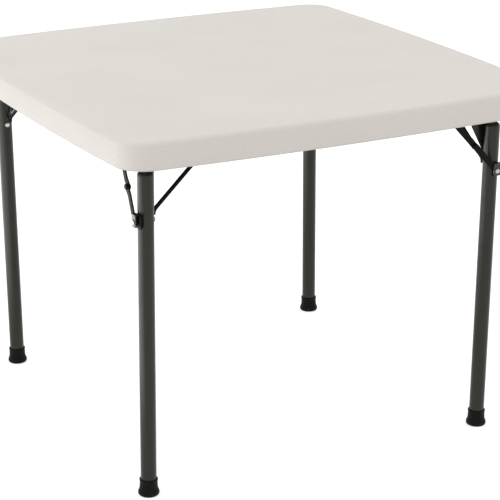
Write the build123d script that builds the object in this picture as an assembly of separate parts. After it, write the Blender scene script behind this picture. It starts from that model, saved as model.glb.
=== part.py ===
from build123d import *
import math
import os

# Folding card table. Lengths are in millimetres, angles in degrees.
# The origin is on the floor under the middle of the top, +Z points up, and the front side faces -Y.
# The four legs stand round the top like a pinwheel, so everything that belongs to a leg is made once,
# for the front left corner, and turned about Z by quarter turns.

# Plastic top
top_width = 940.0
top_height = 730.0
side_bow = 16.6
corner_radius = 60.0
skirt_depth = 52.0
top_edge_radius = 8.0
skirt_edge_radius = 1.8
upper_wall = 2.6
under_wall = 2.2
core_depth = 24.0
rim_width = 22.0
recess_edge_radius = 1.5

# Dimples that tie the under skin to the upper one
dimple_count = 7
dimple_field_inset = 200.0
dimple_mouth_radius = 13.0
dimple_tip_radius = 6.0

# Steel rails under the top
rail_width = 16.0
rail_height = 22.0
rail_wall = 1.2
rail_end_inset = 82.0
rail_rim_clearance = 0.1
rail_screw_shares = (-0.86, -0.3, 0.3, 0.86)

# Screws
screw_radius = 2.0
screw_head_radius = 4.5
screw_head_height = 2.4
screw_slot_length = 5.0
screw_slot_width = 1.1
screw_slot_depth = 1.3
screw_bite = 7.0
screw_clearance = 0.1
head_round_share = 0.6

# Leg
leg_radius = 15.4
leg_wall = 1.2
leg_plane_inset = 87.0
leg_line_inset = 100.0
leg_lean = 0.75
leg_top_drop = 39.0
leg_top_round = 8.0
weld_gap = 0.05

# Leg hinge
hinge_offset = 28.0
hinge_drop = 15.0
hinge_rod_radius = 5.0
hinge_rod_head_radius = 8.0
hinge_rod_head_height = 2.5
running_clearance = 0.08
pivot_tube_radius = 7.5
pivot_tube_overhang = 5.0
pivot_tube_reach = 168.0
side_clearance = 0.3
bracket_sheet = 2.5
bracket_flange = 2.0
bracket_ear_radius = 10.0
bracket_half_width = 14.0
bracket_screw_reaches = (40.0, 130.0)
bracket_screw_spread = 9.0

# Triangular plate between the leg and its pivot tube
plate_thickness = 2.5
plate_ear_radius = 11.0
plate_reach = 10.0
plate_shoulder_drop = 49.0
plate_tip_drop = 108.0
plate_top_drop = 44.0
plate_tip_reach = 5.5
plate_back_inset = 1.0
plate_corner_radius = 2.0

# Strut
strut_radius = 4.0
strut_bend_radius = 14.0
strut_foot_drop = 127.0
strut_bend_drop = 119.0
strut_seat_angle = 18.0
strut_reach = 160.0

# Foot cap
cap_height = 34.0
cap_collar_radius = 17.9
cap_flare_radius = 20.8
cap_tread_radius = 16.0
cap_flare_low = 4.5
cap_flare_high = 8.0
cap_edge_radius = 6.3
cap_waist = 15.0
cap_lip = 1.4
cap_floor = 6.0
cap_trim = 0.4
bore_clearance = 0.05

# Folding brace
brace_pivot_reach = 92.0
brace_pin_drop = 134.0
link_width = 13.0
link_thickness = 3.0
link_gap = 0.3
link_flat = 16.0
upper_link_offset = 3.0
knee_offset = 11.9
boss_radius = 5.0
boss_height = 1.6
brace_pin_radius = 3.0
brace_pin_head_radius = 5.5
brace_pin_head_height = 2.0
knee_rivet_radius = 3.0
knee_rivet_head_radius = 5.5
knee_rivet_head_height = 2.5
leg_rivet_radius = 3.5
leg_rivet_head_radius = 5.0
leg_rivet_head_height = 2.4
leg_rivet_tail_radius = 5.0
leg_rivet_tail_height = 2.4
lug_thickness = 3.0
lug_rise = 15.0
lug_fall = 12.0
lug_outer_reach = 17.0
lug_inner_reach = 8.0
lug_corner_radius = 5.0
cheek_fall = 10.0
web_gap = 1.0
ear_radius = 8.0
brace_flange_outer = 27.0
brace_flange_inner = 13.0
brace_flange_half_width = 14.0
brace_screw_offsets = (-22.0, 6.8)

# Cradle for the folded leg
cradle_bracket_gap = 10.7
cradle_length = 20.0
cradle_half_width = 19.4
cradle_stem_half_width = 12.0
cradle_base_half_width = 30.0
cradle_base_height = 3.0
cradle_screw_spread = 24.0
cradle_grip = 4.0
cradle_clearance = 0.4

# Heights and places that follow from the sizes above
half_width = top_width / 2
leg_plane = half_width - leg_plane_inset
leg_line = half_width - leg_line_inset
skirt_bottom = top_height - skirt_depth
panel_bottom = top_height - core_depth
panel_top = panel_bottom + under_wall
hinge_height = panel_bottom - hinge_drop
hinge_line = leg_line - hinge_offset
side_arc_radius = (half_width**2 + side_bow**2) / (2 * side_bow)
corners = ("front_left", "front_right", "rear_right", "rear_left")
sides = ("left", "front", "right", "rear")


def turned(shape, quarter):
    """The shape turned about the table's middle by quarter turns."""
    return Rot(0, 0, 90 * quarter) * shape


def swung(point, angle):
    """A point (along the fold, up) turned about the hinge, with the leg's foot moving along the fold."""
    along, up = point
    c, s = math.cos(math.radians(angle)), math.sin(math.radians(angle))
    return (along * c - up * s, along * s + up * c)


def side_extent(inset, along):
    """How far the edge of the top, drawn in by inset, stands from the middle at a place along the side."""
    radius = side_arc_radius - inset
    return half_width - side_arc_radius + math.sqrt(radius**2 - along**2)


# Rails: each clears the rim, whose wall bows outwards between the rail's ends, and the rounding above it.
rail_half_length = half_width - rail_end_inset
rail_outer = side_extent(rim_width, rail_half_length) - recess_edge_radius - rail_rim_clearance
rail_middle = rail_outer - rail_width / 2

# How far each kind of screw head sits below the panel
screw_seats = {
    "rail": rail_height,
    "hinge": bracket_flange,
    "brace": bracket_flange,
    "cradle": cradle_base_height,
}

# Everything on a leg is drawn about its hinge: +X is inwards, +Y is the way the leg folds.
at_hinge = Pos(-leg_plane, -hinge_line, hinge_height)
on_leg = Location((-leg_plane, -hinge_line, hinge_height), (leg_lean, 0, 0))
fold_turn = 90 - leg_lean
leg_foot_drop = hinge_height - hinge_offset * math.sin(math.radians(leg_lean))
leg_length = leg_foot_drop / math.cos(math.radians(leg_lean))

# The hinge bracket's ears stand outside the pivot tube's ends.
pivot_tube_start = leg_radius - pivot_tube_overhang
bracket_start = pivot_tube_start - side_clearance - bracket_sheet
bracket_end = pivot_tube_reach + side_clearance + bracket_sheet

# The cradle stands just before the hinge bracket of the next corner, whose rod head faces it.
cradle_far = hinge_line + leg_plane - bracket_end - hinge_rod_head_height - cradle_bracket_gap
cradle_reach = cradle_far - cradle_length / 2

# The brace is straight when the leg stands, and its knee is level with the hinge when it is folded.
pin_standing = swung((-hinge_offset, -brace_pin_drop), leg_lean)
pin_folded = swung((-hinge_offset, -brace_pin_drop), leg_lean + fold_turn)
brace_span = math.hypot(brace_pivot_reach - pin_standing[0], pin_standing[1])
brace_offset = brace_pivot_reach - pin_folded[0]
upper_link_length = (brace_span**2 - brace_offset**2 - pin_folded[1] ** 2) / (2 * (brace_span + brace_offset))
lower_link_length = brace_span - upper_link_length
brace_angle = math.degrees(math.atan2(-pin_standing[1], brace_pivot_reach - pin_standing[0]))
knee = (
    brace_pivot_reach - upper_link_length * math.cos(math.radians(brace_angle)),
    -upper_link_length * math.sin(math.radians(brace_angle)),
)
upper_link_turn = 180 - brace_angle
folded_lower_angle = math.degrees(math.atan2(-pin_folded[1], brace_offset + upper_link_length))
lower_link_turn = folded_lower_angle - brace_angle - fold_turn

# Planes of the brace, as distances outwards from the leg's own plane
upper_link_outer = upper_link_offset + link_thickness / 2
upper_knee_outer = knee_offset + link_thickness / 2
lower_knee_inner = upper_knee_outer + link_gap
lower_knee_outer = lower_knee_inner + link_thickness
lug_inner = leg_radius + weld_gap
lug_outer = lug_inner + lug_thickness
lower_link_outer = lug_outer + link_gap + link_thickness
cheek_inner = lower_link_outer + link_gap
cheek_outer = cheek_inner + lug_thickness


def outline(inset):
    """The top seen from above, drawn in by inset all round."""
    middle = half_width - inset
    radius = side_arc_radius - inset
    drop = half_width - side_arc_radius
    corner = (drop + math.sqrt(2 * radius**2 - drop**2)) / 2
    arc = ThreePointArc((corner, corner), (0, middle), (-corner, corner))
    plan = make_face(Curve() + [Rot(0, 0, 90 * quarter) * arc for quarter in range(4)])
    return fillet(plan.vertices(), corner_radius - inset)


def block(inset, low, high, round_radius=0):
    """The outline from one height up to another, with its upper edge rounded."""
    solid = extrude(Pos(0, 0, low) * outline(inset), high - low)
    if round_radius:
        solid = fillet(solid.faces().sort_by(Axis.Z)[-1].edges(), round_radius)
    return solid


def plate(profile, start, thickness):
    """A flat piece across the leg's hinge, its profile drawn as (along the fold, up)."""
    return extrude(Plane.YZ.offset(start) * profile, thickness)


def rod(centre, radius, start, end):
    """A round piece parallel to the hinge."""
    return plate(Pos(*centre) * Circle(radius), start, end - start)


def bar_profile(start, end, width):
    """A round-ended bar between two points."""
    along, up = end[0] - start[0], end[1] - start[1]
    middle = Pos((start[0] + end[0]) / 2, (start[1] + end[1]) / 2)
    turn = Rot(0, 0, math.degrees(math.atan2(up, along)))
    return middle * turn * SlotCenterToCenter(math.hypot(along, up), width)


def joggled_bar(first, second, width, first_outer, second_outer):
    """A flat bar whose ends lie in two planes, given as distances outwards, with a slant between them."""
    span = math.dist(first, second)
    along, up = (second[0] - first[0]) / span, (second[1] - first[1]) / span
    outer = [(-width, -first_outer), (link_flat, -first_outer)]
    outer += [(span - link_flat, -second_outer), (span + width, -second_outer)]
    inner = [(s, x + link_thickness) for s, x in reversed(outer)]
    edge_view = Plane(origin=(0, *first), x_dir=(0, along, up), z_dir=(0, up, -along))
    strip = extrude(edge_view * make_face(Polyline(*outer, *inner, outer[0])), width, both=True)
    reach = max(first_outer, second_outer)
    return strip & plate(bar_profile(first, second, width), -reach, reach)


def button(centre, radius, start, end):
    """A rivet head that is rounded on its far side."""
    low, high = min(start, end), max(start, end)
    head = rod(centre, radius, low, high)
    faces = head.faces().filter_by(Axis.X).sort_by(Axis.X)
    rim = faces[-1] if end > start else faces[0]
    return fillet(rim.edges(), head_round_share * (high - low))


def screw_places(kind):
    """Where the screws of one leg or rail pass through the panel, as (x, y)."""
    if kind == "rail":
        return [(-rail_middle, share * rail_half_length) for share in rail_screw_shares]
    if kind == "hinge":
        return [
            (-leg_plane + reach, -hinge_line + side * bracket_screw_spread)
            for reach in bracket_screw_reaches
            for side in (-1, 1)
        ]
    if kind == "brace":
        return [(-leg_plane + offset, -hinge_line + brace_pivot_reach) for offset in brace_screw_offsets]
    return [(-leg_plane + side * cradle_screw_spread, -hinge_line + cradle_reach) for side in (-1, 1)]


def screw_holes(kind, low, high):
    """Clearance holes for the screws of one kind, for the front left corner or the left side."""
    hole = Cylinder(screw_radius + screw_clearance, high - low, align=(Align.CENTER, Align.CENTER, Align.MIN))
    return [Pos(x, y, low) * hole for x, y in screw_places(kind)]


def pan_screw(seat_depth):
    """A pan-head screw, its head under the seat and its thread up through the panel."""
    length = seat_depth + under_wall + screw_bite
    shank = Cylinder(screw_radius, length, align=(Align.CENTER, Align.CENTER, Align.MIN))
    head = Cylinder(screw_head_radius, screw_head_height, align=(Align.CENTER, Align.CENTER, Align.MAX))
    head = fillet(head.edges().sort_by(Axis.Z)[0], head_round_share * screw_head_height)
    slot = Pos(0, 0, -screw_head_height) * Box(screw_slot_length, screw_slot_width, 2 * screw_slot_depth)
    return shank + head - slot - Rot(0, 0, 90) * slot


def screws(kinds):
    """All screws of the named kinds, at all four corners or sides."""
    group = []
    for kind in kinds:
        screw = pan_screw(screw_seats[kind])
        low = panel_bottom - screw_seats[kind]
        for quarter in range(4):
            group += [turned(Pos(x, y, low) * screw, quarter) for x, y in screw_places(kind)]
    return Compound(group)


def upper_skin():
    """The moulded top surface and the skirt, open below."""
    shell = block(0, skirt_bottom, top_height, top_edge_radius)
    shell = fillet(shell.faces().sort_by(Axis.Z)[0].edges(), skirt_edge_radius)
    return shell - block(upper_wall, skirt_bottom, top_height - upper_wall, top_edge_radius - upper_wall)


def under_skin():
    """The panel, the inner rim wall and the lip that closes the rim from below, with its dimples."""
    lip = block(upper_wall, skirt_bottom, skirt_bottom + under_wall)
    pan = block(rim_width - under_wall, skirt_bottom, panel_top)
    recess = block(rim_width, skirt_bottom, panel_bottom, recess_edge_radius)
    skin = lip + pan - recess
    depth = top_height - upper_wall - panel_bottom
    low_end = (Align.CENTER, Align.CENTER, Align.MIN)
    outer = Cone(dimple_mouth_radius + under_wall, dimple_tip_radius + under_wall, depth, align=low_end)
    inner = Cone(dimple_mouth_radius, dimple_tip_radius, depth - under_wall, align=low_end)
    field = half_width - dimple_field_inset
    steps = [field * (2 * i / (dimple_count - 1) - 1) for i in range(dimple_count)]
    places = [Pos(x, y, panel_bottom) for x in steps for y in steps]
    skin += [place * outer for place in places]
    skin -= [place * inner for place in places]
    holes = []
    for kind in screw_seats:
        for hole in screw_holes(kind, panel_bottom - under_wall, panel_top + under_wall):
            holes += [turned(hole, quarter) for quarter in range(4)]
    return skin - holes


def frame_rail():
    """The left rail: a rectangular tube along the inside of the rim."""
    height_middle = panel_bottom - rail_height / 2
    outer = Box(rail_width, 2 * rail_half_length, rail_height)
    outer = fillet(outer.edges().filter_by(Axis.Y), rail_wall)
    inner = Box(rail_width - 2 * rail_wall, 2 * rail_half_length, rail_height - 2 * rail_wall)
    rail = Pos(-rail_middle, 0, height_middle) * (outer - inner)
    return rail - screw_holes("rail", panel_bottom - rail_height - rail_wall, panel_bottom + rail_wall)


def hinge_bracket():
    """The stamped bracket that holds the leg's hinge rod under the panel."""
    low = hinge_drop - bracket_flange
    ear = Circle(bracket_ear_radius) + Pos(0, low / 2) * Rectangle(2 * bracket_ear_radius, low)
    flange = Pos(0, hinge_drop - bracket_flange / 2) * Rectangle(2 * bracket_half_width, bracket_flange)
    ears = plate(ear, bracket_start, bracket_sheet) + plate(ear, bracket_end - bracket_sheet, bracket_sheet)
    bracket = plate(flange, bracket_start, bracket_end - bracket_start) + ears
    bracket -= rod((0, 0), hinge_rod_radius + running_clearance, bracket_start, bracket_end)
    return at_hinge * bracket - screw_holes("hinge", panel_bottom - hinge_drop, panel_top)


def hinge_rod():
    """The rod through the bracket's ears and the pivot tube, headed at both ends."""
    shaft = rod((0, 0), hinge_rod_radius, bracket_start, bracket_end)
    heads = button((0, 0), hinge_rod_head_radius, bracket_start, bracket_start - hinge_rod_head_height)
    heads += button((0, 0), hinge_rod_head_radius, bracket_end, bracket_end + hinge_rod_head_height)
    return at_hinge * (shaft + heads)


def brace_ears():
    """The two ears of the brace bracket, as (start, end) distances from the leg's plane."""
    inner = -upper_link_outer + link_thickness + side_clearance
    outer = -upper_link_outer - side_clearance
    return (outer - bracket_sheet, outer), (inner, inner + bracket_sheet)


def brace_bracket():
    """The clevis under the panel that holds the upper link of the brace."""
    low = hinge_drop - bracket_flange
    ear = Circle(ear_radius) + Pos(0, low / 2) * Rectangle(2 * ear_radius, low)
    flange = Pos(0, hinge_drop - bracket_flange / 2) * Rectangle(2 * brace_flange_half_width, bracket_flange)
    bracket = plate(flange, -brace_flange_outer, brace_flange_outer + brace_flange_inner)
    for start, end in brace_ears():
        bracket += plate(ear, start, end - start)
    bracket -= rod((0, 0), brace_pin_radius + running_clearance, -brace_flange_outer, brace_flange_inner)
    bracket = at_hinge * Pos(0, brace_pivot_reach, 0) * bracket
    return bracket - screw_holes("brace", panel_bottom - hinge_drop, panel_top)


def brace_pin():
    """The headed pin of the brace bracket."""
    (start, _), (_, end) = brace_ears()
    pin = rod((0, 0), brace_pin_radius, start, end)
    pin += button((0, 0), brace_pin_head_radius, start, start - brace_pin_head_height)
    pin += button((0, 0), brace_pin_head_radius, end, end + brace_pin_head_height)
    return at_hinge * Pos(0, brace_pivot_reach, 0) * pin


def leg_cradle():
    """The plastic saddle under the panel that takes the folded leg."""
    grip_low = -hinge_offset - cradle_grip
    slot_radius = leg_radius + cradle_clearance
    saddle_top = -hinge_offset + slot_radius + cradle_base_height
    head = Pos(0, (grip_low + saddle_top) / 2) * Rectangle(2 * cradle_half_width, saddle_top - grip_low)
    stem = Pos(0, (saddle_top + hinge_drop) / 2)
    stem *= Rectangle(2 * cradle_stem_half_width, hinge_drop - saddle_top)
    base = Pos(0, hinge_drop - cradle_base_height / 2)
    base *= Rectangle(2 * cradle_base_half_width, cradle_base_height)
    slot = Pos(0, -hinge_offset) * Circle(slot_radius)
    slot += Pos(0, (grip_low - hinge_offset) / 2) * Rectangle(2 * slot_radius, cradle_grip)
    profile = head + stem + base - slot
    cradle = extrude(Plane.XZ.offset(-cradle_far) * profile, cradle_length)
    return at_hinge * cradle - screw_holes("cradle", panel_bottom - hinge_drop, panel_top)


def leg_tube():
    """The leg: a steel tube, closed and rounded at its upper end."""
    bottom = -(leg_length + cap_trim - cap_floor)
    height = -leg_top_drop - bottom
    low_end = (Align.CENTER, Align.CENTER, Align.MIN)
    outer = Cylinder(leg_radius, height, align=low_end)
    outer = fillet(outer.edges().sort_by(Axis.Z)[-1], leg_top_round)
    bore = Cylinder(leg_radius - leg_wall, height - leg_wall, align=low_end)
    bore = fillet(bore.edges().sort_by(Axis.Z)[-1], leg_top_round - leg_wall)
    tube = Pos(0, -hinge_offset, bottom) * (outer - bore)
    tube -= rod((-hinge_offset, -brace_pin_drop), leg_rivet_radius + bore_clearance, -lug_outer, lug_outer)
    return on_leg * tube


def foot_cap():
    """The rubber cap: a collar on the tube that flares to a wide tread, cut flat on the floor."""
    bore = leg_radius + bore_clearance
    side = Line((cap_flare_radius, cap_flare_high), (cap_collar_radius, cap_waist))
    edge = RadiusArc((cap_tread_radius, 0), (cap_flare_radius, cap_flare_low), -cap_edge_radius)
    profile = make_face(
        Curve()
        + [
            Line((0, 0), (cap_tread_radius, 0)),
            edge,
            Line((cap_flare_radius, cap_flare_low), (cap_flare_radius, cap_flare_high)),
            side,
            Polyline(
                (cap_collar_radius, cap_waist),
                (cap_collar_radius, cap_height - cap_lip),
                (cap_collar_radius - cap_lip / 2, cap_height),
                (bore, cap_height),
                (bore, cap_floor),
                (0, cap_floor),
                (0, 0),
            ),
        ]
    )
    cap = revolve(Plane.XZ * profile, Axis.Z)
    cap = on_leg * Pos(0, -hinge_offset, -leg_length - cap_trim) * cap
    floor = Box(top_width, top_width, cap_height, align=(Align.CENTER, Align.CENTER, Align.MAX))
    return cap - floor


def hinge_plate():
    """The triangular plate that joins the leg's inner side to the pivot tube."""
    tip = -hinge_offset + plate_tip_reach
    back = -hinge_offset + plate_back_inset
    profile = make_face(
        Polyline(
            (plate_reach, 0),
            (plate_reach, -plate_shoulder_drop),
            (tip, -plate_tip_drop),
            (back, -plate_tip_drop),
            (back, -plate_top_drop),
            (-plate_reach, 0),
            (plate_reach, 0),
        )
    )
    profile = fillet(profile.vertices().group_by(Axis.Y)[0:3], plate_corner_radius) + Circle(plate_ear_radius)
    profile -= Circle(pivot_tube_radius + weld_gap)
    return on_leg * plate(profile, leg_radius + weld_gap, plate_thickness)


def pivot_tube():
    """The tube that turns on the hinge rod."""
    tube = rod((0, 0), pivot_tube_radius, pivot_tube_start, pivot_tube_reach)
    tube -= rod((0, 0), hinge_rod_radius + running_clearance, pivot_tube_start, pivot_tube_reach)
    return on_leg * tube


def strut():
    """The bent rod from the leg's flank up to the far end of the pivot tube."""
    seat = leg_radius + strut_radius + weld_gap
    x = seat * math.cos(math.radians(strut_seat_angle))
    y = seat * math.sin(math.radians(strut_seat_angle)) - hinge_offset
    path = FilletPolyline(
        (x, y, -strut_foot_drop),
        (x, y, -strut_bend_drop),
        (strut_reach, 0, 0),
        radius=strut_bend_radius,
    )
    bar = sweep(Plane(origin=path @ 0, z_dir=path % 0) * Circle(strut_radius), path)
    bar -= rod((0, 0), pivot_tube_radius + weld_gap, 0, 2 * pivot_tube_reach)
    return on_leg * bar


def lug_plate(outer_reach, fall, start):
    """One upright plate of the lug, rounded at its lower corners."""
    width, height = outer_reach + lug_inner_reach, lug_rise + fall
    middle = Pos((lug_inner_reach - outer_reach) / 2 - hinge_offset, (lug_rise - fall) / 2 - brace_pin_drop)
    profile = middle * Rectangle(width, height)
    profile = fillet(profile.vertices().group_by(Axis.Y)[0], lug_corner_radius)
    profile -= Pos(-hinge_offset, -brace_pin_drop) * Circle(leg_rivet_radius + bore_clearance)
    return plate(profile, -start - lug_thickness, lug_thickness)


def brace_lug():
    """The folded steel lug on the leg's outer side: two plates with the brace's end between them."""
    lug = lug_plate(lug_outer_reach, lug_fall, lug_inner) + lug_plate(lug_inner_reach, cheek_fall, cheek_inner)
    width = lug_inner_reach - web_gap
    middle = (-hinge_offset - web_gap - width / 2, lug_rise - lug_thickness / 2 - brace_pin_drop)
    return on_leg * (lug + plate(Pos(*middle) * Rectangle(width, lug_thickness), -cheek_outer, cheek_outer - lug_inner))


def leg_rivet():
    """The zinc rivet through the leg, the lug and the lower link."""
    centre = (-hinge_offset, -brace_pin_drop)
    tail = leg_radius + leg_rivet_tail_height
    rivet = rod(centre, leg_rivet_radius, -cheek_outer, tail)
    rivet += button(centre, leg_rivet_head_radius, -cheek_outer, -cheek_outer - leg_rivet_head_height)
    return on_leg * (rivet + button(centre, leg_rivet_tail_radius, leg_radius, tail))


def upper_link():
    """The upper link of the brace, with a pressed boss on the inner side of its knee."""
    pivot = (brace_pivot_reach, 0)
    link = joggled_bar(pivot, knee, link_width, upper_link_outer, upper_knee_outer)
    link -= rod(pivot, brace_pin_radius + running_clearance, -upper_knee_outer, upper_knee_outer)
    inner = link_thickness - upper_knee_outer
    return at_hinge * (link + button(knee, boss_radius, inner, inner + boss_height))


def lower_link():
    """The lower link of the brace, between the knee and the leg's rivet."""
    link = joggled_bar(pin_standing, knee, link_width, lower_link_outer, lower_knee_outer)
    link -= rod(pin_standing, leg_rivet_radius + running_clearance, -cheek_outer, 0)
    return at_hinge * (link - rod(knee, knee_rivet_radius + bore_clearance, -cheek_outer, 0))


def knee_rivet():
    """The knee's rivet, fixed in the lower link and ending at the upper link's face."""
    head = -lower_knee_outer - knee_rivet_head_height
    rivet = rod(knee, knee_rivet_radius, -lower_knee_outer, -lower_knee_inner)
    return at_hinge * (rivet + button(knee, knee_rivet_head_radius, -lower_knee_outer, head))


def save(shape, node):
    """Write one piece or group of pieces."""
    export_step(shape, os.path.join("parts", node + ".step"))


os.makedirs("parts", exist_ok=True)
save(upper_skin(), "tabletop_upper_skin")
save(under_skin(), "tabletop_under_skin")
save(screws(["rail"]), "rail_screws")
save(screws(["hinge", "brace", "cradle"]), "bracket_screws")
for node, piece in (("hinge_rods", hinge_rod()), ("brace_pins", brace_pin()), ("leg_cradles", leg_cradle())):
    save(Compound([turned(piece, quarter) for quarter in range(4)]), node)

rail = frame_rail()
for quarter, side in enumerate(sides):
    save(turned(rail, quarter), "frame_rail_" + side)

leg_pieces = {
    "hinge_bracket": hinge_bracket(),
    "brace_bracket": brace_bracket(),
    "leg_tube": leg_tube(),
    "hinge_plate": hinge_plate(),
    "pivot_tube": pivot_tube(),
    "strut": strut(),
    "foot_cap": foot_cap(),
    "brace_lug": brace_lug(),
    "leg_rivet": leg_rivet(),
    "upper_link": upper_link(),
    "lower_link": lower_link(),
    "knee_rivet": knee_rivet(),
}
for quarter, corner in enumerate(corners):
    for name, piece in leg_pieces.items():
        save(turned(piece, quarter), name + "_" + corner)

print("hinge", -leg_plane, -hinge_line, hinge_height)
print("leg fold", fold_turn, "upper link turn", upper_link_turn, "lower link turn", lower_link_turn)
print("brace pivot", brace_pivot_reach, "pin", pin_standing, "knee", knee)
print("upper link", upper_link_length, "lower link", lower_link_length)
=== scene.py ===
import math

import bmesh
import bpy
from mathutils import Matrix, Vector


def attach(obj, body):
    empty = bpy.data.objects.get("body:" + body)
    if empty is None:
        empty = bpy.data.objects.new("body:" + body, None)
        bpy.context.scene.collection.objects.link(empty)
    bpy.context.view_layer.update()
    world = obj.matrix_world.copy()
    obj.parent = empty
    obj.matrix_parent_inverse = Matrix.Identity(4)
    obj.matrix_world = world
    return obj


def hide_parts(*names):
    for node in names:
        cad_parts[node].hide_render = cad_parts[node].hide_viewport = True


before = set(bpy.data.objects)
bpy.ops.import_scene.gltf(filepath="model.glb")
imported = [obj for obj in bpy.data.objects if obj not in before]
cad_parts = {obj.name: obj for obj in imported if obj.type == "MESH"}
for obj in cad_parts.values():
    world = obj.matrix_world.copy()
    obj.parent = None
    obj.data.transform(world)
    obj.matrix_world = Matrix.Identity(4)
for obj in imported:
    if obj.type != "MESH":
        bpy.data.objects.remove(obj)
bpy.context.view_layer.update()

# Top moulding. The upper skin of a blow-moulded polyethylene top: a flat face with a soft edge, and a skirt
# that runs down all round it. The four sides bow out a little. Its face carries a fine pebbled grain from
# the mould.
top_height = 0.730
skirt_bottom = 0.678
half_width = 0.470
side_bow = 0.0166
corner_radius = 0.060
edge_radius = 0.008
skirt_lip = 0.0018
top_skin = 0.0026
flat_margin = 0.005
side_steps = 28
corner_steps = 14
edge_steps = 6
lip_steps = 4
same_point = 1e-6
moulding_smooth_angle = 40
side_radius = (half_width**2 + side_bow**2) / (2 * side_bow)
side_centre = half_width - side_radius
corner_reach = (side_centre + math.sqrt(2 * (side_radius - corner_radius) ** 2 - side_centre**2)) / 2
side_angle = math.atan2(corner_reach, corner_reach - side_centre)


class Flow:
    """A value that nodes work out. Sums and products of flows add their Math nodes."""

    def __init__(self, nodes, socket):
        self.nodes = nodes
        self.socket = socket

    def __add__(self, other):
        return self.nodes.maths("ADD", self, other)

    def __radd__(self, other):
        return self.nodes.maths("ADD", other, self)

    def __sub__(self, other):
        return self.nodes.maths("SUBTRACT", self, other)

    def __rsub__(self, other):
        return self.nodes.maths("SUBTRACT", other, self)

    def __mul__(self, other):
        return self.nodes.maths("MULTIPLY", self, other)

    def __rmul__(self, other):
        return self.nodes.maths("MULTIPLY", other, self)

    def within(self, low, high):
        """0 below low, 1 above high, and a smooth step between them."""
        span = {"Value": self, "From Min": low, "From Max": high, "To Min": 0.0, "To Max": 1.0}
        return self.nodes.node("MapRange", {"interpolation_type": "SMOOTHSTEP"}, span)


class Nodes:
    """The nodes of a material or of the studio's world, added one by one to an emptied tree."""

    def __init__(self, owner):
        owner.use_nodes = True
        self.tree = owner.node_tree
        self.tree.nodes.clear()

    def node(self, kind, settings, inputs, output=0):
        """Adds a node, sets it, feeds its sockets and gives one of its outputs."""
        made = self.tree.nodes.new("ShaderNode" + kind)
        for name, value in settings.items():
            setattr(made, name, value)
        for name, value in inputs.items():
            self.feed(made.inputs[name], value)
        return Flow(self, made.outputs[output])

    def feed(self, socket, value):
        """Links a flow to a socket, or sets the socket to a plain value."""
        if isinstance(value, Flow):
            self.tree.links.new(value.socket, socket)
        else:
            socket.default_value = value

    def maths(self, operation, *values):
        return self.node("Math", {"operation": operation}, dict(enumerate(values)))

    def show(self, output, shader):
        """Leads the finished shader to the output of the tree."""
        self.feed(self.tree.nodes.new("ShaderNode" + output).inputs["Surface"], shader)


class Finish(Nodes):
    """The material of one finish of the table, built from nodes that read the piece's own place."""

    def __init__(self, name, constants):
        self.material = bpy.data.materials.new(name)
        super().__init__(self.material)
        self.surface = self.tree.nodes.new("ShaderNodeBsdfPrincipled")
        for socket, value in constants.items():
            self.surface.inputs[socket].default_value = value
        self.show("OutputMaterial", Flow(self, self.surface.outputs[0]))
        self.place = self.node("TexCoord", {}, {}, "Object")

    def set(self, name, value):
        """Leads a flow to a socket of the surface."""
        self.feed(self.surface.inputs[name], value)

    def axis(self, name):
        """How far along one axis of the table a point lies."""
        return self.node("SeparateXYZ", {}, {0: self.place}, name)

    def stretched(self, scale, turn=(0.0, 0.0, 0.0)):
        """The place with its axes turned and scaled, so that a pattern on it is drawn out."""
        return self.node("Mapping", {}, {"Vector": self.place, "Rotation": turn, "Scale": scale})

    def noise(self, scale, detail, place=None):
        """Cloudy noise about 0.5, with scale as the number of clouds in a metre."""
        inputs = {"Vector": place or self.place, "Scale": scale, "Detail": detail}
        return self.node("TexNoise", {}, inputs)

    def pebbles(self, scale):
        """Rounded cells, with scale as their number in a metre."""
        inputs = {"Vector": self.place, "Scale": scale, "Smoothness": 0.6}
        return self.node("TexVoronoi", {"feature": "SMOOTH_F1"}, inputs, "Distance")

    def blend(self, share, first, second):
        """The first colour where share is 0 and the second where it is 1."""
        share_in, first_in, second_in, colour_out = 0, 6, 7, 2
        inputs = {share_in: share, first_in: first, second_in: second}
        return self.node("Mix", {"data_type": "RGBA"}, inputs, colour_out)

    def relief(self, height, depth, strength, below=None):
        """A bump from a height of 0 to 1, depth metres high, on top of the one below it."""
        inputs = {"Height": height, "Distance": depth, "Strength": strength}
        if below:
            inputs["Normal"] = below
        return self.node("Bump", {}, inputs)


def colour(red, green, blue):
    return (red, green, blue, 1.0)


def moulded_finish(name, tint, shade, roughness):
    """Moulded polyethylene: pebbled grain, faint clouds of tone, and light rub marks."""
    finish = Finish(name, {"IOR": 1.5, "Specular IOR Level": 0.5})
    clouds = finish.noise(5.0, detail=4.0)
    flecks = finish.noise(420.0, detail=2.0)
    rubbed_way = finish.stretched((1.0, 14.0, 1.0), (0.0, 0.0, 0.6))
    rubs = finish.noise(9.0, detail=5.0, place=rubbed_way)
    grain = finish.pebbles(620.0)
    fine = finish.noise(1900.0, detail=2.0)
    # The grain's hollows are painted darker as painted shade; the flecks are random tone.
    flecks_and_hollow_shade = flecks.within(0.35, 0.8) * 0.2 + grain.within(0.2, 0.8) * 0.3
    share = clouds.within(0.3, 0.75) * 0.5 + flecks_and_hollow_shade
    finish.set("Base Color", finish.blend(share, tint, shade))
    finish.set("Roughness", rubs.within(0.55, 0.8) * 0.07 + (grain * 0.16 + roughness))
    pebbled = finish.relief(1.0 - grain, depth=0.0005, strength=0.9)
    finish.set("Normal", finish.relief(fine, depth=0.00005, strength=0.6, below=pebbled))
    return finish.material


top_tint = colour(0.829, 0.785, 0.733)
top_shade = colour(0.776, 0.731, 0.677)
top_plastic = moulded_finish("top_plastic", top_tint, top_shade, roughness=0.42)


def from_here(point):
    """The direction of a point from the middle, counted from just past +X, where no ring has a point."""
    count_start = 0.013
    return (math.atan2(point[1], point[0]) - count_start) % (2 * math.pi)


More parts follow.
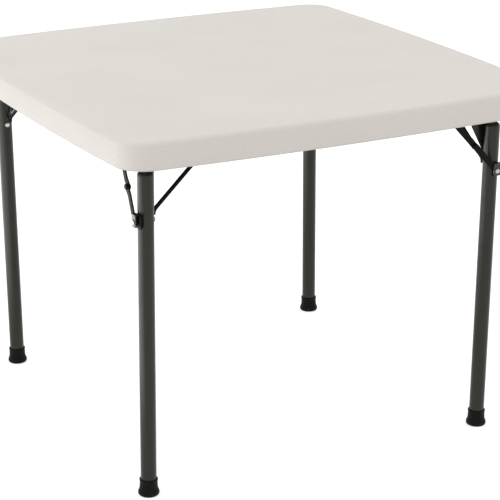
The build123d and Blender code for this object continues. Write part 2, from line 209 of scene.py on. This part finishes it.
def rim_ring(inset, height):
    """The top's outline drawn in by inset, as points in order round the middle."""
    ring = []
    side_reach = side_radius - inset
    round_reach = corner_radius - inset
    for quarter in range(4):
        turn = Matrix.Rotation(math.radians(90 * quarter), 3, "Z")
        for step in range(side_steps):
            angle = side_angle * (2 * step / side_steps - 1)
            x, y = side_reach * math.sin(angle), side_centre + side_reach * math.cos(angle)
            ring.append(turn @ Vector((x, y, height)))
        for step in range(corner_steps):
            angle = side_angle + (math.pi / 2 - 2 * side_angle) * step / corner_steps
            x, y = corner_reach + round_reach * math.sin(angle), corner_reach + round_reach * math.cos(angle)
            ring.append(turn @ Vector((x, y, height)))
    return sorted(ring, key=from_here)


def new_loop(name, ring):
    """A closed loop of edges set on the ring and left selected in edit mode."""
    bpy.ops.object.select_all(action="DESELECT")
    bpy.ops.mesh.primitive_circle_add(vertices=len(ring), radius=half_width)
    piece = bpy.context.object
    piece.name = name
    bpy.ops.object.mode_set(mode="EDIT")
    set_loop(piece, ring)
    return piece


def set_loop(piece, ring):
    """Sets the selected points on the ring, both taken in order round the middle."""
    mesh = bmesh.from_edit_mesh(piece.data)
    selected = [vertex for vertex in mesh.verts if vertex.select]
    loop = sorted(selected, key=lambda vertex: from_here(vertex.co))
    for vertex, place in zip(loop, ring):
        vertex.co = place
    bmesh.update_edit_mesh(piece.data)


def draw_on(piece, rings):
    """Carries the selected loop of edges on through the rings."""
    for ring in rings:
        bpy.ops.mesh.extrude_edges_move()
        set_loop(piece, ring)


def close_off(piece, smooth_angle):
    """Turns the faces outwards, leaves edit mode and shades the piece smooth up to an angle in degrees."""
    bpy.ops.mesh.select_all(action="SELECT")
    bpy.ops.mesh.remove_doubles(threshold=same_point)
    bpy.ops.mesh.normals_make_consistent(inside=False)
    bpy.ops.object.mode_set(mode="OBJECT")
    bpy.ops.object.shade_smooth_by_angle(angle=math.radians(smooth_angle))


def turned_body(piece, rings, smooth_angle):
    """Draws a piece on through the rings from its first loop, and closes it at both ends."""
    bpy.ops.mesh.edge_face_add()
    draw_on(piece, rings)
    bpy.ops.mesh.edge_face_add()
    close_off(piece, smooth_angle)


def arc(centre_inset, centre_height, radius, start, end, steps):
    """Points of a rounding as (inset, height). Angle 0 points outwards and 90 points up."""
    angles = [math.radians(start + (end - start) * step / steps) for step in range(steps + 1)]
    return [(centre_inset - radius * math.cos(a), centre_height + radius * math.sin(a)) for a in angles]


def coat(piece, material):
    """Gives a piece its one material."""
    piece.data.materials.clear()
    piece.data.materials.append(material)


def dress(piece, body, slot, material, *nodes):
    """Fixes a finished piece to its body and gives it its finish. It stands for the CAD nodes."""
    coat(piece, material)
    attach(piece, body)
    if nodes:
        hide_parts(*nodes)


edge_centre = top_height - edge_radius
top_profile = [(edge_radius + flat_margin, top_height - top_skin)]
top_profile += arc(edge_radius, edge_centre, edge_radius - top_skin, 90, 0, edge_steps)
top_profile += [(top_skin, skirt_bottom)]
top_profile += arc(skirt_lip, skirt_bottom + skirt_lip, skirt_lip, -90, 0, lip_steps)
top_profile += arc(edge_radius, edge_centre, edge_radius, 0, 90, edge_steps)
top_profile += [(edge_radius + flat_margin, top_height)]
top = new_loop("top_moulding", rim_ring(*top_profile[0]))
turned_body(top, [rim_ring(*place) for place in top_profile[1:]], moulding_smooth_angle)
dress(top, "root", "moulded_plastic", top_plastic, "tabletop_upper_skin")

# Under moulding. The lower skin of the same hollow top: a lip that closes the rim from below, the rim's
# inner wall, and the panel in the recess, with rows of hollow cones that are pressed up until they fuse to
# the upper skin.
panel_bottom = 0.706
panel_margin = 0.040
rim_width = 0.022
rim_foot = 0.004
rim_fillet = 0.003
fillet_steps = 5
under_skin = 0.0022
under_wall_share = 0.8
parting_gap = 0.0003
cone_rows = 7
cone_pitch = 0.090
cone_mouth = 0.013
cone_tip = 0.006
cone_depth = 0.0192
cone_points = 24
mouth_round = 0.0025
tip_round = 0.002
cone_merge = 0.0001

under_tint = colour(0.735, 0.700, 0.655)
under_shade = colour(0.690, 0.652, 0.605)
under_plastic = moulded_finish("under_plastic", under_tint, under_shade, roughness=0.50)


def round_ring(radius, height, points):
    """A circle as points in order round the middle."""
    angles = [2 * math.pi * step / points for step in range(points)]
    ring = [Vector((radius * math.cos(angle), radius * math.sin(angle), height)) for angle in angles]
    return sorted(ring, key=from_here)


def square_ring(half, height, points):
    """A square's edge as points in order round the middle."""
    ring = []
    side_points = points // 4
    for quarter in range(4):
        turn = Matrix.Rotation(math.radians(90 * quarter), 3, "Z")
        for step in range(side_points):
            ring.append(turn @ Vector((half, half * (2 * step / side_points - 1), height)))
    return sorted(ring, key=from_here)


slope = (cone_mouth - cone_tip) / cone_depth
cone_rings = [(cone_mouth + 1.7 * mouth_round, 0.0), (cone_mouth + 0.7 * mouth_round, 0.0)]
cone_rings += [(cone_mouth + 0.15 * mouth_round, 0.25 * mouth_round)]
cone_rings += [(cone_mouth - 0.2 * mouth_round, mouth_round)]
cone_rings += [(cone_tip + slope * tip_round, cone_depth - tip_round)]
cone_rings += [(cone_tip - 0.3 * tip_round, cone_depth - 0.3 * tip_round)]
cone_rings += [(cone_tip - tip_round, cone_depth)]
under = new_loop("under_moulding", square_ring(cone_pitch / 2, panel_bottom, cone_points))
draw_on(under, [round_ring(radius, panel_bottom + rise, cone_points) for radius, rise in cone_rings])
bpy.ops.mesh.edge_face_add()
bpy.ops.object.mode_set(mode="OBJECT")
for spacing in ((cone_pitch, 0, 0), (0, cone_pitch, 0)):
    rows = under.modifiers.new("rows", "ARRAY")
    rows.count = cone_rows
    rows.use_relative_offset = False
    rows.use_constant_offset = True
    rows.constant_offset_displace = spacing
    rows.use_merge_vertices = True
    rows.merge_threshold = cone_merge
    bpy.ops.object.modifier_apply(modifier=rows.name)
bpy.ops.object.mode_set(mode="EDIT")
bpy.ops.mesh.select_all(action="SELECT")
field_reach = cone_pitch * (cone_rows - 1) / 2
bpy.ops.transform.translate(value=(-field_reach, -field_reach, 0))
bpy.ops.mesh.remove_doubles(threshold=cone_merge)
bpy.ops.mesh.select_all(action="DESELECT")
bpy.ops.mesh.select_mode(type="EDGE")
bpy.ops.mesh.select_non_manifold()
inner_lip = rim_width - skirt_lip
outer_lip = top_skin + parting_gap
under_profile = [(rim_width + panel_margin, panel_bottom)]
under_profile += [(rim_width + rim_fillet + flat_margin, panel_bottom)]
under_profile += arc(rim_width + rim_fillet, panel_bottom - rim_fillet, rim_fillet, 90, 0, fillet_steps)
under_profile += arc(inner_lip, skirt_bottom + skirt_lip, -skirt_lip, 0, 90, lip_steps)
under_profile += [(top_skin + rim_foot, skirt_bottom), (outer_lip, skirt_bottom)]
under_profile += [(outer_lip, skirt_bottom + under_skin)]
draw_on(under, [rim_ring(*place) for place in under_profile])
close_off(under, moulding_smooth_angle)
wall = under.modifiers.new("wall", "SOLIDIFY")
wall.thickness = under_skin * under_wall_share
wall.offset = -1
bpy.ops.object.modifier_apply(modifier=wall.name)
dress(under, "root", "moulded_plastic_under", under_plastic, "tabletop_under_skin")

# Steel rails. Four rectangular tubes along the inside of the rim keep the top from sagging. They are coated
# with the same baked powder as the legs, dark grey with a touch of bronze, whose skin is like the peel of an
# orange.
sides = ("left", "front", "right", "rear")
coat_tint = colour(0.0185, 0.0178, 0.0100)
coat_shade = colour(0.0120, 0.0116, 0.0065)


def powder_finish(name, tint, shade, roughness, peel, gloss):
    """Baked powder on steel: an orange-peel skin, thin streaks of tone and a few duller rubbed places."""
    finish = Finish(name, {"IOR": 1.5, "Specular IOR Level": gloss})
    streaks = finish.noise(14.0, detail=4.0, place=finish.stretched((3.0, 3.0, 0.35)))
    specks = finish.noise(1500.0, detail=2.0)
    skin = finish.noise(peel, detail=1.0)
    rubbed = finish.noise(22.0, detail=5.0).within(0.56, 0.72)
    share = streaks.within(0.3, 0.7) * 0.75 + specks.within(0.4, 0.8) * 0.25
    finish.set("Base Color", finish.blend(share, tint, shade))
    finish.set("Roughness", rubbed * 0.12 + (streaks * 0.1 + roughness))
    peeled = finish.relief(skin, depth=0.0002, strength=0.7)
    finish.set("Normal", finish.relief(specks, depth=0.00003, strength=0.5, below=peeled))
    return finish.material


leg_coat = powder_finish("leg_coat", coat_tint, coat_shade, roughness=0.24, peel=700.0, gloss=0.33)
for side in sides:
    coat(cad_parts["frame_rail_" + side], leg_coat)

# Screws, hinge rods and brace pins. Zinc-plated steel, cold headed, with the plate gone slightly cloudy. The
# screws bite into the panel, and the rods and pins are headed over outside the ears of their brackets.
zinc_tint = colour(0.50, 0.50, 0.48)
zinc_shade = colour(0.40, 0.39, 0.36)
zinc_bloom = colour(0.58, 0.58, 0.57)


def zinc_finish(name):
    """Zinc plate: cloudy, with fine marks from tumbling and a little white bloom."""
    finish = Finish(name, {"IOR": 1.5})
    clouds = finish.noise(160.0, detail=4.0)
    marks = finish.noise(2600.0, detail=3.0)
    bloom = finish.noise(420.0, detail=5.0).within(0.6, 0.78)
    plate = finish.blend(clouds.within(0.3, 0.7), zinc_tint, zinc_shade)
    finish.set("Base Color", finish.blend(bloom * 0.6, plate, zinc_bloom))
    finish.set("Roughness", marks * 0.12 + (bloom * 0.25 + 0.22))
    finish.set("Metallic", 1.0 - bloom * 0.35)
    finish.set("Normal", finish.relief(marks, depth=0.00002, strength=0.5))
    return finish.material


zinc = zinc_finish("zinc_plate")
for fastener in ("rail_screws", "bracket_screws", "hinge_rods", "brace_pins"):
    coat(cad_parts[fastener], zinc)

# Hinge brackets and brace brackets. Stamped steel with two ears each, screwed up to the panel, and coated
# like the rails. Stamping leaves their edges slightly rounded.
corners = ("front_left", "front_right", "rear_right", "rear_left")
stamped_round = 0.0005
round_segments = 3
cad_same_point = 2e-6
flat_angle = 0.5
sharp_angle = 40
pressing_smooth_angle = 32


def rounded(node, name, radius, body, slot, material):
    """A copy of a CAD piece that stands for it, with its sharp edges rounded as a press leaves them."""
    bpy.ops.object.select_all(action="DESELECT")
    piece = bpy.data.objects.new(name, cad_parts[node].data.copy())
    bpy.context.scene.collection.objects.link(piece)
    bpy.context.view_layer.objects.active = piece
    piece.select_set(True)
    bpy.ops.object.mode_set(mode="EDIT")
    bpy.ops.mesh.customdata_custom_splitnormals_clear()
    bpy.ops.mesh.select_mode(type="EDGE")
    bpy.ops.mesh.select_all(action="SELECT")
    bpy.ops.mesh.remove_doubles(threshold=cad_same_point)
    bpy.ops.mesh.dissolve_limited(angle_limit=math.radians(flat_angle))
    bpy.ops.mesh.select_all(action="DESELECT")
    bpy.ops.mesh.edges_select_sharp(sharpness=math.radians(sharp_angle))
    bpy.ops.mesh.bevel(offset=radius, segments=round_segments, affect="EDGES", clamp_overlap=True)
    bpy.ops.object.mode_set(mode="OBJECT")
    bpy.ops.object.shade_smooth_by_angle(angle=math.radians(pressing_smooth_angle))
    dress(piece, body, slot, material, node)


for corner in corners:
    for bracket in ("hinge_bracket_", "brace_bracket_"):
        node = bracket + corner
        rounded(node, "stamped_" + node, stamped_round, "root", "leg_coat", leg_coat)

# Cradles. Black nylon saddles, moulded in one piece each, one for every folded leg. They are screwed under
# the panel and open downwards, and their jaws snap over the leg.
cradle_round = 0.0006
nylon_tint = colour(0.020, 0.020, 0.020)
nylon_rubbed = colour(0.045, 0.044, 0.042)


def nylon_finish(name):
    """Moulded nylon: near black, with a fine spark-eroded grain and paler rub marks."""
    finish = Finish(name, {"IOR": 1.53})
    grain = finish.noise(1300.0, detail=3.0)
    rubs = finish.noise(60.0, detail=5.0).within(0.58, 0.72)
    finish.set("Base Color", finish.blend(rubs * 0.5, nylon_tint, nylon_rubbed))
    finish.set("Roughness", grain * 0.15 + (0.42 - rubs * 0.1))
    finish.set("Normal", finish.relief(grain, depth=0.00006, strength=0.5))
    return finish.material


cradle_nylon = nylon_finish("cradle_nylon")
rounded("leg_cradles", "moulded_cradles", cradle_round, "root", "cradle_plastic", cradle_nylon)

# Legs. Round steel tubes, closed and rounded at the top, with a triangular plate and a pivot tube welded on
# the inner side, and a bent strut that ties the far end of the pivot tube to the leg. The powder coat
# covers them all but for the strut, which is plain black.
leg_plane = 0.383
leg_line = 0.370
hinge_offset = 0.028
hinge_height = 0.691
leg_lean = 0.75
leg_radius = 0.0154
plate_round = 0.0006
on_leg = Matrix.Translation((-leg_plane, hinge_offset - leg_line, hinge_height))
on_leg @= Matrix.Rotation(math.radians(leg_lean), 4, "X")
enamel_tint = colour(0.006, 0.006, 0.005)
enamel_shade = colour(0.004, 0.004, 0.0035)

black_enamel = powder_finish(
    "black_enamel", enamel_tint, enamel_shade, roughness=0.42, peel=900.0, gloss=0.10
)
for corner in corners:
    leg = "leg_" + corner
    coat(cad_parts["leg_tube_" + corner], leg_coat)
    coat(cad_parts["pivot_tube_" + corner], leg_coat)
    coat(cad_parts["strut_" + corner], black_enamel)
    plate = "hinge_plate_" + corner
    rounded(plate, "pressed_" + plate, plate_round, leg, "leg_coat", leg_coat)

# Welds. Short beads of weld metal where the plate, the pivot tube, the strut and the lug meet the leg or
# each other, with the ripples of the pool still showing through the coat.
bead_points = 10
bead_smooth_angle = 60
ripple_share = 0.45
tip_share = 0.45
taper_steps = 3
trough_share = 0.86
crest_share = 0.16
ring_steps = 44
pivot_tube_radius = 0.0075
ring_stand = 0.0004


def on_leg_at(place, turn=0.0):
    """A place on the leg, from the pivot's height, turned by degrees about the line of the table's side."""
    return on_leg @ Matrix.Translation(place) @ Matrix.Rotation(math.radians(turn), 4, "Y")


def bead(length, radius, place):
    """A straight bead along the leg, tapered at both ends, with its middle set at its place."""
    steps = int(length / (radius * ripple_share))
    rings = []
    for step in range(steps + 1):
        taper = min(min(step, steps - step) / taper_steps, 1.0)
        swell = (tip_share + (1.0 - tip_share) * taper) * (1.0 if step % 2 else trough_share)
        rings.append(round_ring(radius * swell, length * (step / steps - 0.5), bead_points))
    piece = new_loop("bead", rings[0])
    turned_body(piece, rings[1:], bead_smooth_angle)
    x, y, z = place
    piece.data.transform(on_leg_at((x, y - hinge_offset, z)))
    return piece


def ring_bead(thickness, across):
    """A bead round the pivot tube, set across the leg from its axis."""
    bpy.ops.object.select_all(action="DESELECT")
    bpy.ops.mesh.primitive_torus_add(
        major_radius=pivot_tube_radius + ring_stand,
        minor_radius=thickness,
        major_segments=ring_steps,
        minor_segments=bead_points,
    )
    piece = bpy.context.object
    bpy.ops.object.mode_set(mode="EDIT")
    mesh = bmesh.from_edit_mesh(piece.data)
    for vertex in mesh.verts:
        step = round(math.atan2(vertex.co.y, vertex.co.x) / (2 * math.pi) * ring_steps)
        vertex.select = step % 2 == 0
    mesh.select_flush_mode()
    bmesh.update_edit_mesh(piece.data)
    bpy.ops.transform.shrink_fatten(value=thickness * crest_share)
    close_off(piece, bead_smooth_angle)
    piece.data.transform(on_leg_at((across, 0, 0), turn=90))
    return piece


weld_gap = 0.00005
plate_thickness = 0.0025
plate_inner = leg_radius + weld_gap
plate_outer = plate_inner + plate_thickness
# Straight beads are (length, radius, middle from the leg's axis and the pivot's height), and rings are
# (thickness, how far across the leg).
plate_beads = [(0.050, 0.0013, (0.0161, 0.0006, -0.0770)), (0.040, 0.0018, (0.0143, 0.0072, -0.0730))]
ring_beads = [(0.0014, plate_outer + 0.0002), (0.0012, plate_inner - 0.0001)]
strut_beads = [(0.012, 0.0015, (0.0141, 0.0080, -0.1205)), (0.012, 0.0015, (0.0161, 0.0019, -0.1205))]
lug_beads = [(0.023, 0.0017, (-0.0143, 0.0072, -0.1325)), (0.023, 0.0017, (-0.0143, -0.0078, -0.1325))]
beads = [bead(*sizes) for sizes in plate_beads]
beads += [ring_bead(*sizes) for sizes in ring_beads]
beads += [bead(*sizes) for sizes in strut_beads + lug_beads]
bpy.ops.object.select_all(action="DESELECT")
for piece in beads:
    piece.select_set(True)
bpy.context.view_layer.objects.active = beads[0]
bpy.ops.object.join()
welds = bpy.context.object


def at_each_corner(piece, name):
    """The piece and three copies with meshes of their own, each turned to its corner and named for it."""
    pieces = [piece]
    for quarter in range(1, 4):
        twin = bpy.data.objects.new(name + corners[quarter], piece.data.copy())
        bpy.context.scene.collection.objects.link(twin)
        twin.data.transform(Matrix.Rotation(math.radians(90 * quarter), 4, "Z"))
        pieces.append(twin)
    piece.name = name + corners[0]
    return zip(corners, pieces)


for corner, piece in at_each_corner(welds, "leg_welds_"):
    dress(piece, "leg_" + corner, "leg_coat", leg_coat)

# Foot caps. Black rubber, moulded and pushed on to the legs: a collar with a rolled lip, a flare above the
# floor, and a flat tread with two grooves. They are dusty near the floor.
cap_points = 56
cap_smooth_angle = 50
cap_sink = 0.0004
lean = math.radians(leg_lean)
leg_length = (hinge_height - hinge_offset * math.sin(lean)) / math.cos(lean)
rubber_tint = colour(0.0050, 0.0050, 0.0042)
rubber_dust = colour(0.030, 0.028, 0.024)
dust_low, dust_high = 0.001, 0.016


def rubber_finish(name):
    """Black rubber: dull, finely pitted, paler with dust towards the floor."""
    finish = Finish(name, {"IOR": 1.5, "Specular IOR Level": 0.10})
    pits = finish.noise(1500.0, detail=3.0)
    near_floor = 1.0 - finish.axis("Z").within(dust_low, dust_high)
    dust = near_floor * finish.noise(160.0, detail=5.0).within(0.42, 0.7)
    finish.set("Base Color", finish.blend(dust * 0.6, rubber_tint, rubber_dust))
    finish.set("Roughness", pits * 0.12 + (dust * 0.2 + 0.46))
    finish.set("Normal", finish.relief(pits, depth=0.00006, strength=0.5))
    return finish.material


def groove(outer, inner):
    """A shallow groove in the tread between two radii, as points of the cap's outline."""
    rounding, wall_width, depth = 0.0004, 0.0006, 0.0012
    way_in = [(outer, 0.0), (outer - rounding, rounding), (outer - wall_width, depth)]
    way_out = [(inner + wall_width, depth), (inner + rounding, rounding), (inner, 0.0)]
    return way_in + way_out


# The cap's outline is given as (radius, height) above the tread, from the floor of its bore outwards.
bore = [(0.0155, 0.0060), (0.0155, 0.0336)]
rolled_lip = [(0.0158, 0.0342), (0.0166, 0.0344), (0.0176, 0.0340), (0.0180, 0.0331), (0.0180, 0.0312)]
collar = [(0.0175, 0.0302), (0.0174, 0.0270), (0.0176, 0.0200), (0.0178, 0.0162)]
flare = [(0.0184, 0.0136), (0.0195, 0.0108), (0.0204, 0.0088), (0.0208, 0.0070), (0.0208, 0.0050)]
tread_edge = [(0.0205, 0.0034), (0.0196, 0.0018), (0.0181, 0.0006), (0.0161, 0.0)]
grooves = groove(outer=0.0124, inner=0.0094) + groove(outer=0.0068, inner=0.0042)
cap_profile = bore + rolled_lip + collar + flare + tread_edge + grooves
cap = new_loop("foot_cap", round_ring(*cap_profile[0], cap_points))
cap_rings = [round_ring(radius, height, cap_points) for radius, height in cap_profile[1:]]
turned_body(cap, cap_rings, cap_smooth_angle)
cap.data.transform(on_leg_at((0, -hinge_offset, -leg_length - cap_sink)))
for vertex in cap.data.vertices:
    vertex.co.z = max(vertex.co.z, 0.0)
foot_rubber = rubber_finish("foot_rubber")
for corner, piece in at_each_corner(cap, "rubber_cap_"):
    dress(piece, "leg_" + corner, "foot_cap_rubber", foot_rubber, "foot_cap_" + corner)

# Folding braces. On the outer side of each leg a folded steel lug is welded on, and two flat steel links
# join it to the bracket under the top. They are black enamelled. The lug's outer cheek is glossy and painted
# a little lighter as a painted highlight. The leg's rivet is zinc plated, and the knee's rivet is black.
cheek_start = 0.4049
cheek_face = 0.4078
pressed_round = 0.0006
dull_enamel = colour(0.005, 0.005, 0.0045)
# The lighter enamel is a painted highlight on the lug's outer faces.
painted_sheen_enamel = colour(0.012, 0.0115, 0.011)


def cheek_sheen_enamel(name):
    """Black enamel, dull but for the faces farthest out, which are glossy and carry a painted highlight."""
    constants = {"IOR": 1.5, "Specular IOR Level": 0.08, "Coat Roughness": 0.24, "Coat IOR": 1.5}
    finish = Finish(name, constants)
    across = finish.maths("ABSOLUTE", finish.axis("X"))
    along = finish.maths("ABSOLUTE", finish.axis("Y"))
    outer = finish.maths("MAXIMUM", across, along).within(cheek_start, cheek_face)
    scuffs = finish.noise(240.0, detail=4.0)
    specks = finish.noise(1500.0, detail=2.0)
    # Painted highlight: outer faces painted lighter, varied by scuffs; the same mask sets their glossy coat.
    painted_sheen_and_coat = outer * (scuffs.within(0.2, 0.5) * 0.3 + 0.7)
    finish.set("Base Color", finish.blend(painted_sheen_and_coat, dull_enamel, painted_sheen_enamel))
    finish.set("Roughness", specks * 0.1 + 0.42)
    finish.set("Coat Weight", painted_sheen_and_coat)
    finish.set("Normal", finish.relief(specks, depth=0.00003, strength=0.4))
    return finish.material


lug_enamel = cheek_sheen_enamel("lug_enamel")
brace_parts = [("brace_lug_", "leg_", lug_enamel)]
brace_parts += [("upper_link_", "upper_brace_", black_enamel), ("lower_link_", "lower_brace_", black_enamel)]
for corner in corners:
    for part, body, enamel in brace_parts:
        node = part + corner
        rounded(node, "pressed_" + node, pressed_round, body + corner, "black_steel", enamel)
    coat(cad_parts["knee_rivet_" + corner], black_enamel)
    coat(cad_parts["leg_rivet_" + corner], zinc)

# Floor. A pale studio floor that runs out of sight. It glows up to white for the camera and for what
# reflects or shows it, and it keeps the table's faint shadow.
floor_size = 60.0
floor_drop = 0.0002
floor_paint = colour(0.74, 0.74, 0.74)
floor_glow = 0.62
white = colour(1.0, 1.0, 1.0)


def seen(nodes):
    """1 where the camera looks, straight, in gloss or through glass, and 0 for light that falls on things."""
    straight = nodes.node("LightPath", {}, {}, "Is Camera Ray")
    in_gloss = nodes.node("LightPath", {}, {}, "Is Glossy Ray")
    through = nodes.node("LightPath", {}, {}, "Is Transmission Ray")
    return nodes.maths("MAXIMUM", nodes.maths("MAXIMUM", straight, in_gloss), through)


bpy.ops.object.select_all(action="DESELECT")
bpy.ops.mesh.primitive_plane_add(size=floor_size, location=(0, 0, -floor_drop))
floor = bpy.context.object
floor.name = "floor"
pale = bpy.data.materials.new("pale_floor")
pale_nodes = Nodes(pale)
paint = pale_nodes.node("BsdfDiffuse", {}, {"Color": floor_paint})
glow = pale_nodes.node("Emission", {}, {"Color": white, "Strength": floor_glow})
lit = pale_nodes.node("AddShader", {}, {0: paint, 1: glow})
both = pale_nodes.node("MixShader", {}, {0: seen(pale_nodes), 1: paint, 2: lit})
pale_nodes.show("OutputMaterial", both)
floor.data.materials.append(pale)

# Light. A bright even studio with a soft lamp high on the left and a weaker one in front. A third, wide and
# low on the left, shows in reflections only and draws the light bands down the legs.
studio_level = 0.83
table_middle = (0.0, 0.0, 0.6)

world = bpy.data.worlds.new("studio")
bpy.context.scene.world = world
studio = Nodes(world)
level = studio.node("MapRange", {}, {"Value": seen(studio), "To Min": studio_level, "To Max": 1.0})
sky = studio.node("Background", {}, {"Color": white, "Strength": level})
studio.show("OutputWorld", sky)


def lamp(name, place, size, power, target):
    """A square soft lamp that faces its target."""
    light = bpy.data.objects.new(name, bpy.data.lights.new(name, "AREA"))
    bpy.context.scene.collection.objects.link(light)
    light.data.shape = "SQUARE"
    light.data.size = size
    light.data.energy = power
    light.location = place
    light.rotation_euler = (Vector(target) - Vector(place)).to_track_quat("-Z", "Y").to_euler()
    return light


lamp("key_lamp", place=(-3.6, 0.9, 2.4), size=1.8, power=19.0, target=table_middle)
lamp("front_lamp", place=(-1.0, -4.5, 3.0), size=2.5, power=5.0, target=table_middle)
low_lamp = lamp("low_lamp", place=(-2.6, 1.2, 0.002), size=3.6, power=82.0, target=(-2.6, 1.2, 1.0))
low_lamp.visible_camera = False
low_lamp.visible_diffuse = False

# Camera. It stands where the photograph was taken from. Its place, direction and focal length come from the
# outlines of the top and the legs there.
camera_place = (-1.7603, -3.3572, 1.6394)
camera_yaw, camera_pitch, camera_roll = 28.06, 19.13, 0.12
sensor_width = 36.0
focal_length = 136.2
camera = bpy.data.objects.new("camera", bpy.data.cameras.new("camera"))
bpy.context.scene.collection.objects.link(camera)
camera.data.sensor_width = sensor_width
camera.data.lens = focal_length
aim = Matrix.Rotation(math.radians(-camera_yaw), 4, "Z")
aim @= Matrix.Rotation(math.radians(90 - camera_pitch), 4, "X")
aim @= Matrix.Rotation(math.radians(camera_roll), 4, "Z")
camera.matrix_world = Matrix.Translation(camera_place) @ aim
bpy.context.scene.camera = camera
bpy.context.scene.view_settings.view_transform = "Standard"
